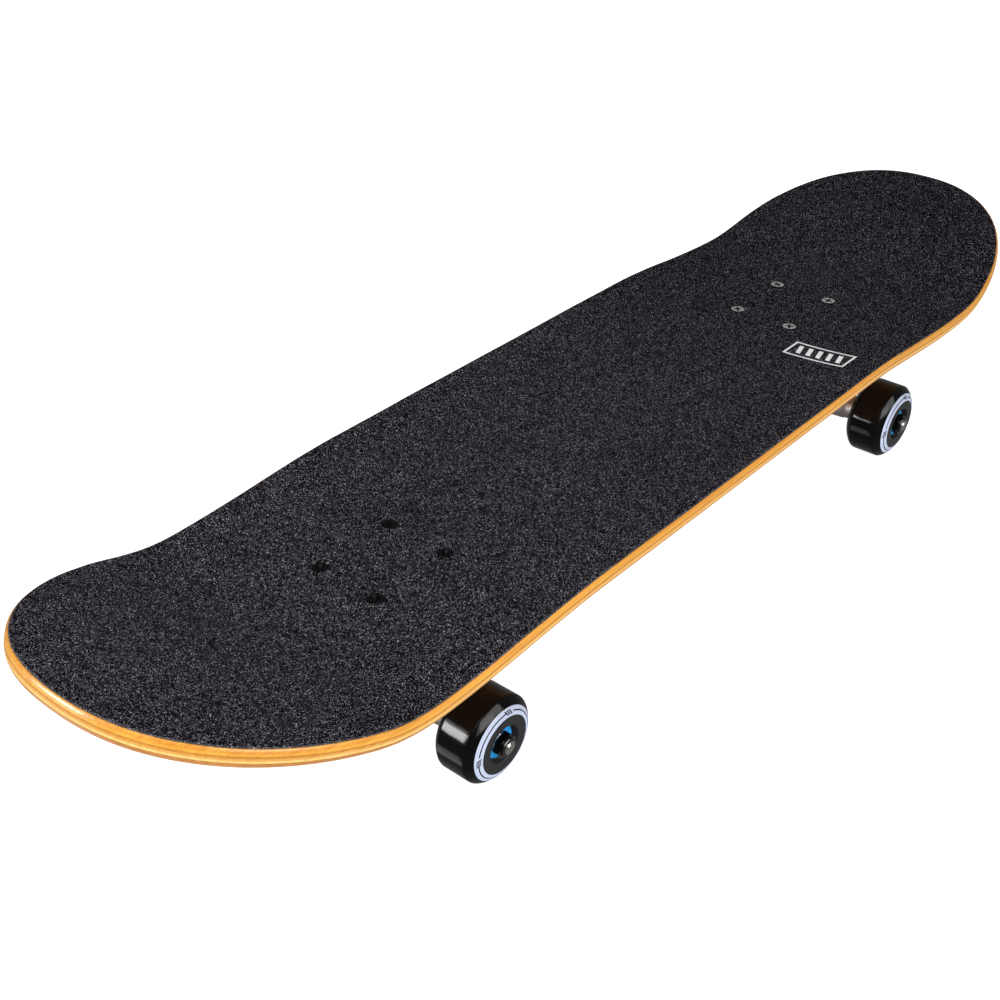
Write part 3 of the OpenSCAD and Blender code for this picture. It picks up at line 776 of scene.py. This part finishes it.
def make_screw_head():
    """One countersunk head with its cross recess, whose faces take the recess's painted shade, its top
    face at z = 0.
    """
    bm = bmesh.new()
    flat, crown = 3.0, 0.4
    section = [(ON_AXIS, 0.0), (flat, 0.0)]
    section += arc((flat, -crown), (HEAD_RADIUS - flat, crown), 90, 6, 12)[1:]
    section += [(HEAD_RADIUS - 0.1, -0.6), (SHANK_RADIUS, -HEAD_HEIGHT), (ON_AXIS, -HEAD_HEIGHT)]
    lathe(bm, section, Matrix.Identity(4), 56, closed=False, caps=True)
    head = finish_mesh(bm, "screw_head", BLACK_STEEL, None, 40)
    cutter = recess_cutter()
    cut_away(head, cutter, True)
    bpy.data.objects.remove(cutter)
    return head


def make_screws(head):
    """Each truck's four screws and their four lock nuts."""
    nuts_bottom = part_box("front_mounting_nuts")[0][2] / MM
    nuts_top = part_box("front_mounting_nuts")[1][2] / MM
    for end in ENDS:
        bm = bmesh.new()
        for place in screw_places(end):
            spin = place @ Matrix.Rotation(random.uniform(0, math.pi / 2), 4, "Z")
            part = head.data.copy()
            part.transform(spin)
            bm.from_mesh(part)
            bpy.data.meshes.remove(part)
            tip = SCREW_BOTTOM - SCREW_TOP
            thread_end = tip + SCREW_THREAD
            lathe(bm, [(ON_AXIS, -HEAD_HEIGHT), (SHANK_RADIUS - FIT, -HEAD_HEIGHT),
                       (SHANK_RADIUS - FIT, thread_end), (ON_AXIS, thread_end)],
                  place, 40, closed=False, caps=True)
            add_thread(bm, SHANK_RADIUS, SCREW_PITCH, tip, thread_end, place,
                       SCREW_THREAD_DEPTH, 40)
        # the front screws take the grey with its painted reflection, the rear ones plain black
        finish = REFLECTING_GREY_STEEL if end == "front" else BLACK_STEEL
        screws = finish_mesh(bm, f"{end}_screws", [finish, RECESS_SHADE], "board", 40)
        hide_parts(f"{end}_mounting_screws")
        bm = bmesh.new()
        for place in screw_places(end):
            spot = Vector((place.translation.x, place.translation.y, nuts_top * MM))
            turn = Matrix.Rotation(random.uniform(0, 1), 4, "Z")
            down = frame_along(spot, (0, 0, -1), Vector((1, 0, 0))) @ turn
            tall = nuts_top - nuts_bottom
            add_nut(bm, NUT_FLATS, SHANK_RADIUS + FIT, NUT_HEIGHT, down,
                    (NUT_FLATS / 2 - 0.35, tall - NUT_HEIGHT))
        nuts = finish_mesh(bm, f"{end}_lock_nuts", STEEL, "board", 30)
        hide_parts(f"{end}_mounting_nuts")


screw_head = make_screw_head()
make_screws(screw_head)
bpy.data.objects.remove(screw_head)

# ---------------------------------------------------------------- wheels

BEARING_GAP, BEARING_WIDTH = 10.0, 7.0
BEARING_RADIUS, CORE_RADIUS = 11.0, 9.6
RECESS_RADIUS, MOUTH_RADIUS = 11.2, 11.6
SHIELD_RADIUS, SHIELD_INNER = 9.5, 6.4
TREAD_HALF, FACE_RADIUS, SHOULDER_FULLNESS = 8.4, 17.4, 1.45
PRINT_RADII = (17.5, 19.55, 20.2, 22.1)    # inner band, dark line, outer band
PRINT_SKIN = 0.03
MARKS = ((-13.0, 8.0), (87.0, 8.0))         # degrees round the wheel, and half their spread
MARK_BARS = (-0.6, 0.0, 0.6)                # places of a mark's bars, over half its spread
BAR_HALF, BAR_REACH, BAR_LEAN = 1.5, 0.9, 0.04      # degrees, and millimetres past the dark line
AXLE_RADIUS, AXLE_THREAD, AXLE_NUT_FLATS = 3.97, 15.0, 12.7
AXLE_COLLAR = (5.6, 1.5)                    # radius and height of a lock nut's nylon ring
FINE_PITCH, FINE_DEPTH = 1.06, 0.5          # the axle's and the kingpin's thread
SPEED_WASHER = 0.9
HUB_DEPTH = 3                               # how far in the side face's finish goes


def wheel_place(end, side):
    """A frame at the wheel's centre, whose z axis runs outwards along the axle."""
    a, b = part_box(f"{end}_{side}_wheel")
    centre = (a + b) / 2
    out = Vector((0, 1 if centre.y > 0 else -1, 0))
    return frame_along(centre, out)


def shoulder(radius, half, t):
    """A point of the shoulder's curve: t is 0 at the flat side face and 90 at the tread."""
    power = 2 / SHOULDER_FULLNESS
    out = max(0.0, math.sin(math.radians(t))) ** power
    up = max(0.0, math.cos(math.radians(t))) ** power
    return FACE_RADIUS + (radius - FACE_RADIUS) * out, TREAD_HALF + (half - TREAD_HALF) * up


def shoulder_height(radius, half, r):
    """Height of the shoulder's curve above the wheel's middle, at a distance r from the axle."""
    u = min(1.0, max(0.0, (r - FACE_RADIUS) / (radius - FACE_RADIUS)))
    return TREAD_HALF + (half - TREAD_HALF) * (1 - u ** SHOULDER_FULLNESS) ** (1 / SHOULDER_FULLNESS)


def wheel_section(radius, half):
    """Half of the wheel's section, from the middle of its core to the tread's middle."""
    seat = BEARING_GAP / 2
    bearing = seat + BEARING_WIDTH
    points = [(CORE_RADIUS, 0), (CORE_RADIUS, seat - 0.4), (CORE_RADIUS + 0.4, seat),
              (BEARING_RADIUS, seat), (BEARING_RADIUS, bearing + 0.05),
              (RECESS_RADIUS, bearing + 0.25)]
    points += arc((MOUTH_RADIUS, half - 0.4), (MOUTH_RADIUS - RECESS_RADIUS, 0.4), 180, 90, 6)
    points += [(13.5, half), (15.5, half)]
    points += [shoulder(radius, half, t) for t in range(0, 91, 3)]
    points += [(radius, TREAD_HALF * 0.5), (radius, 0.0)]
    return points


def make_wheel(end, side):
    """A wheel with its printed rings and the shields of its bearings."""
    a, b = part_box(f"{end}_{side}_wheel")
    radius, half = (b.z - a.z) / 2 / MM, (b.y - a.y) / 2 / MM
    place = wheel_place(end, side)
    body = f"{end}_{side}_wheel_body"
    section = wheel_section(radius, half)
    whole = section + [(r, -z) for r, z in section[-2:0:-1]]
    bm = bmesh.new()
    lathe(bm, whole, place, 144)
    inverse = place.inverted()
    for face in bm.faces:
        spot = inverse @ face.calc_center_median()
        flat = math.hypot(spot.x, spot.y)
        if BEARING_RADIUS * MM < flat < FACE_RADIUS * MM and abs(spot.z) > (half - HUB_DEPTH) * MM:
            face.material_index = 1
    wheel = finish_mesh(bm, f"{end}_{side}_urethane", [URETHANE, HUB_FACE], body, 40)
    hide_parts(f"{end}_{side}_wheel")
    make_print(end, side, place, (radius, half), body)
    make_shields(end, side, place, body)


def make_print(end, side, place, size, body):
    """Two printed bands on the outer shoulder, with a dark line between them that gives way to two
    groups of short bars. size is the wheel's radius and half its width."""
    bm = bmesh.new()

    def band(r0, r1, start, stop, paint=0, lift=0.0, lean=0.0):
        """A strip of print between two radii and two angles in degrees."""
        steps = max(2, int(abs(stop - start) / 2.0))
        full = abs(stop - start) > 359
        rows = []
        for i in range(steps if full else steps + 1):
            t = math.radians(start + (stop - start) * i / steps)
            top, base = [], []
            for r in np.linspace(r0, r1, 7):
                turn = t + lean * (r - r0)
                z = shoulder_height(*size, r)
                x, y = r * MM * math.cos(turn), r * MM * math.sin(turn)
                top.append((x, y, (z + PRINT_SKIN + lift) * MM))
                base.append((x, y, (z - 0.05) * MM))
            rows.append(top + base[::-1])
        add_loft(bm, rows, place, closed=full, caps=not full, paint=paint)

    inner, line_in, line_out, outer = PRINT_RADII
    band(line_out, outer, 0, 360)
    band(inner, line_in, 0, 360)
    for centre, spread in MARKS:
        band(line_in - 0.05, line_out + 0.05, centre - spread, centre + spread, 0, 0.005)
        for place_in_mark in MARK_BARS:
            at = centre + spread * place_in_mark
            band(line_in - BAR_REACH, line_out + BAR_REACH, at - BAR_HALF, at + BAR_HALF,
                 1, 0.02, BAR_LEAN)
    printed = finish_mesh(bm, f"{end}_{side}_printed_rings", [PRINT, URETHANE], body, 50)


def make_shields(end, side, place, body):
    """The two outer shields: pressed rubber discs with a raised rib."""
    bm = bmesh.new()
    outer = BEARING_GAP / 2 + BEARING_WIDTH - 0.25
    section = [
        (SHIELD_INNER, -0.5), (SHIELD_INNER, -0.1), (SHIELD_INNER + 0.1, 0.0),
        (SHIELD_INNER + 0.5, 0.0), (SHIELD_INNER + 0.65, -0.14), (SHIELD_INNER + 1.7, -0.14),
        (SHIELD_INNER + 1.85, 0.0), (SHIELD_RADIUS - 0.45, 0.0), (SHIELD_RADIUS - 0.12, -0.08),
        (SHIELD_RADIUS, -0.25), (SHIELD_RADIUS, -0.5),
    ]
    for way in (1, -1):
        lathe(bm, [(r, way * (z + outer)) for r, z in section], place, 96)
    shields = finish_mesh(bm, f"{end}_{side}_blue_shields", SHIELD, body, 30)
    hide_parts(f"{end}_{side}_bearing_shields")


def make_axle_pieces(end):
    """The axle with its threaded ends and domed tips, and its two lock nuts."""
    a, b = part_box(f"{end}_axle")
    centre = (a + b) / 2
    half = (b.y - a.y) / 2 / MM
    body = f"{end}_hanger_body"
    bm = bmesh.new()
    along = frame_along(centre, (0, 1, 0))
    smooth = half - AXLE_THREAD
    lathe(bm, [(ON_AXIS, -smooth), (AXLE_RADIUS, -smooth), (AXLE_RADIUS, smooth), (ON_AXIS, smooth)],
          along, 64, closed=False, caps=True)
    for out in (1, -1):
        place = frame_along(centre, (0, out, 0))
        add_thread(bm, AXLE_RADIUS, FINE_PITCH, smooth, half - 0.9, place, FINE_DEPTH, 56)
        # The tip is a plain core, a rounded step and a low dome
        tip = [(ON_AXIS, half - 2.0), (3.35, half - 2.0), (3.35, half - 1.1)]
        tip += arc((2.7, half - 1.1), (0.65, 0.5), 0, 90, 5)
        tip += [(2.5, half - 0.66)] + arc((0.0, half - 0.66), (2.4, 0.66), 0, 89.9, 12)
        lathe(bm, tip, place, 48, closed=False, caps=True)
    axle = finish_mesh(bm, f"{end}_threaded_axle", AXLE_STEEL, body, 40)
    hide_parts(f"{end}_axle")
    a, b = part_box(f"{end}_axle_nuts")
    bm = bmesh.new()
    for out in (1, -1):
        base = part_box(f"{end}_{'left' if out > 0 else 'right'}_wheel")
        start = abs((base[0].y + base[1].y) / 2) / MM + BEARING_GAP / 2 + BEARING_WIDTH
        start += SPEED_WASHER
        tall = b.y / MM - start
        place = frame_along((centre.x, out * start * MM, centre.z), (0, out, 0))
        place = place @ Matrix.Rotation(random.uniform(0, 1), 4, "Z")
        add_nut(bm, AXLE_NUT_FLATS, AXLE_RADIUS + FIT, tall - AXLE_COLLAR[1], place, AXLE_COLLAR)
    nuts = finish_mesh(bm, f"{end}_axle_lock_nuts", BLACK_NUT, body, 30)
    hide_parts(f"{end}_axle_nuts")


for end in ENDS:
    make_axle_pieces(end)
    for side in SIDES:
        make_wheel(end, side)

# ---------------------------------------------------------------- trucks

SEAT = Vector((-8.0, 0.0, -17.5))       # in the truck's own frame, where the kingpin's stack starts
KINGPIN_LEAN = 22.0
KINGPIN_RADIUS = 4.76
KINGPIN_HEAD = (9.4, 5.8, 12.6)         # distance from the seat, height and width across its flats
NO_BORE = 0.02                          # a head's bore, too small to see
KINGPIN_TAIL, KINGPIN_THREAD = 43.5, 15.0
BARREL_RADIUS, BARREL_HEIGHT = 12.2, 14.0
CONE_RADII, CONE_HEIGHT = (12.0, 8.4), 10.5
CUPPED_THICKNESS, BOTTOM_CUP, TOP_CUP = 1.2, 13.0, 9.6
RING_HEIGHT = 6.5                       # of the hanger's ring, between the two bushings
RING_FROM = CUPPED_THICKNESS + BARREL_HEIGHT
CONE_FROM = RING_FROM + RING_HEIGHT
TOP_WASHER_FROM = CONE_FROM + CONE_HEIGHT
KINGPIN_NUT_FROM = TOP_WASHER_FROM + CUPPED_THICKNESS
KINGPIN_NUT_FLATS, KINGPIN_NUT_HEIGHT, KINGPIN_COLLAR = 14.3, 7.6, 1.8
KINGPIN_BORE = KINGPIN_RADIUS + 0.05
CASTING_VOXEL, CASTING_PASSES = 0.9, 7  # size of a casting's skin cells, and rounds of smoothing


def kingpin_place(end, along=0.0):
    """A frame on the kingpin, whose z axis points away from the deck. along is its distance from
    the seat."""
    turn = 0.0 if end == "front" else math.pi
    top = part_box(f"{end}_baseplate")[1].z
    truck = Matrix.Translation((TRUCK_X[end] * MM, 0, top)) @ Matrix.Rotation(turn, 4, "Z")
    lean = Matrix.Rotation(math.radians(180 + KINGPIN_LEAN), 4, "Y")
    return truck @ Matrix.Translation(SEAT * MM) @ lean @ Matrix.Translation((0, 0, along * MM))


def make_casting(node, name, body):
    """A casting's skin over a CAD node: every edge and corner softened as a mould leaves it."""
    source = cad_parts[node]
    mesh = source.data.copy()
    mesh.transform(source.matrix_world)
    piece = bpy.data.objects.new(name, mesh)
    bpy.context.scene.collection.objects.link(piece)
    skin = piece.modifiers.new("skin", "REMESH")
    skin.mode = "VOXEL"
    skin.voxel_size = CASTING_VOXEL * MM
    soft = piece.modifiers.new("soft", "SMOOTH")
    soft.factor = 0.5
    soft.iterations = CASTING_PASSES
    apply_modifiers(piece)
    piece.data.polygons.foreach_set("use_smooth", [True] * len(piece.data.polygons))
    piece.data.materials.clear()
    piece.data.materials.append(CAST)
    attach(piece, body)
    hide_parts(node)


def make_lathed(end, node, name, section, along, material, crease=35, body="board"):
    """A turned piece on the kingpin that stands for a CAD node."""
    bm = bmesh.new()
    lathe(bm, section, kingpin_place(end, along), 96)
    piece = finish_mesh(bm, name, material, body, crease)
    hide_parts(f"{end}_{node}")
    return piece


def cup_section(radius, way):
    """A washer pressed into a shallow cup. way is 1 if its rim points along z, else -1."""
    points = [(KINGPIN_BORE, 0), (radius - 1.6, 0)]
    points += arc((radius - 1.6, 1.6), (1.6, 1.6), -90, 0, 8)[1:] + [(radius, 2.6)]
    points += arc((radius - 0.5, 2.6), (0.5, 0.4), 0, 180, 6)[1:] + [(radius - 1.0, 2.0)]
    points += [(radius - 1.7, CUPPED_THICKNESS), (KINGPIN_BORE, CUPPED_THICKNESS)]
    return points if way > 0 else [(r, CUPPED_THICKNESS - z) for r, z in points]


def bushing_section(base, top, height, rounds, bulge=0.0):
    """A bushing round the kingpin, between two radii. rounds are the widths of its rounded edges, and
    bulge is how far its side swells."""
    edge, steps = 1.0, 12
    low, high = rounds
    points = [(KINGPIN_BORE, 0), (base - low, 0)] + arc((base - low, edge), (low, edge), -90, 0, 5)[1:]
    for k in range(1, steps):
        swell = bulge * math.sin(math.pi * k / steps)
        points.append((base + (top - base) * k / steps + swell,
                       edge + (height - 2 * edge) * k / steps))
    points += arc((top - high, height - edge), (high, edge), 0, 90, 5)
    return points + [(KINGPIN_BORE, height)]


def make_bushings(end):
    """The barrel and the cone bushings, between the board and the hanger."""
    bulge = 0.4
    fat = BARREL_RADIUS - bulge
    barrel = bushing_section(fat, fat, BARREL_HEIGHT, (1.4, 1.4), bulge)
    cone = bushing_section(*CONE_RADII, CONE_HEIGHT, (1.2, 0.9))
    for node, section, start, held, moved in (
        ("barrel_bushing", barrel, CUPPED_THICKNESS, CUPPED_THICKNESS, RING_FROM),
        ("cone_bushing", cone, CONE_FROM, TOP_WASHER_FROM, CONE_FROM),
    ):
        piece = make_lathed(end, node, f"{end}_moulded_{node}", section, start, BUSHING,
                            50, None)
        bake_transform(piece)


def make_kingpin(end):
    """The kingpin with its hexagon head and thread, and its lock nut."""
    bm = bmesh.new()
    place = kingpin_place(end)
    head_from, head_height, head_flats = KINGPIN_HEAD
    smooth_to = KINGPIN_TAIL - KINGPIN_THREAD
    lathe(bm, [(ON_AXIS, -head_from), (KINGPIN_RADIUS - FIT, -head_from),
               (KINGPIN_RADIUS - FIT, smooth_to), (ON_AXIS, smooth_to)], place, 48, False, True)
    add_nut(bm, head_flats, NO_BORE, head_height, kingpin_place(end, -head_from - head_height))
    add_thread(bm, KINGPIN_RADIUS, FINE_PITCH, smooth_to, KINGPIN_TAIL, place, FINE_DEPTH, 48)
    pin = finish_mesh(bm, f"{end}_threaded_kingpin", STEEL, "board", 30)
    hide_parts(f"{end}_kingpin")
    bm = bmesh.new()
    add_nut(bm, KINGPIN_NUT_FLATS, KINGPIN_RADIUS + FIT, KINGPIN_NUT_HEIGHT - KINGPIN_COLLAR,
            kingpin_place(end, KINGPIN_NUT_FROM), (KINGPIN_NUT_FLATS / 2 - 0.5, KINGPIN_COLLAR))
    nut = finish_mesh(bm, f"{end}_kingpin_lock_nut", STEEL, "board", 30)
    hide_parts(f"{end}_kingpin_nut")


for end in ENDS:
    make_casting(f"{end}_baseplate", f"{end}_cast_baseplate", "board")
    make_casting(f"{end}_hanger", f"{end}_cast_hanger", f"{end}_hanger_body")
    make_bushings(end)
    make_kingpin(end)
    make_lathed(end, "bottom_washer", f"{end}_cupped_bottom_washer", cup_section(BOTTOM_CUP, 1),
                0.0, STEEL)
    make_lathed(end, "top_washer", f"{end}_cupped_top_washer", cup_section(TOP_CUP, -1),
                TOP_WASHER_FROM, STEEL)

# ---------------------------------------------------------------- carried-over nodes

NODE_MATERIALS = {
    "pivot_cup": CUP, "speed_washers": POLISHED, "bearing_spacers": STEEL,
    "inner_races": POLISHED, "outer_races": POLISHED, "bearing_balls": POLISHED,
    "ball_retainers": NYLON,
}
for name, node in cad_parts.items():
    for ending, material in NODE_MATERIALS.items():
        if name.endswith(ending):
            node.data.materials.clear()
            node.data.materials.append(material)

# ---------------------------------------------------------------- floor and backdrop

FLOOR_REACH, FLOOR_DROP = 6.0, 0.0005


def make_stage():
    """The floor, and a dome that only the camera sees, so that a low view has a white background
    and no horizon."""
    paper = paper_material()
    bm = bmesh.new()
    bmesh.ops.create_grid(bm, x_segments=2, y_segments=2, size=FLOOR_REACH)
    floor = finish_mesh(bm, "floor", paper, None)
    floor.location = (0, 0, -FLOOR_DROP)
    floor.visible_glossy = False
    bm = bmesh.new()
    bmesh.ops.create_icosphere(bm, subdivisions=4, radius=FLOOR_REACH)
    backdrop = finish_mesh(bm, "backdrop", paper, None)
    backdrop.visible_diffuse = False
    backdrop.visible_glossy = False
    backdrop.visible_transmission = False
    backdrop.visible_shadow = False


make_stage()
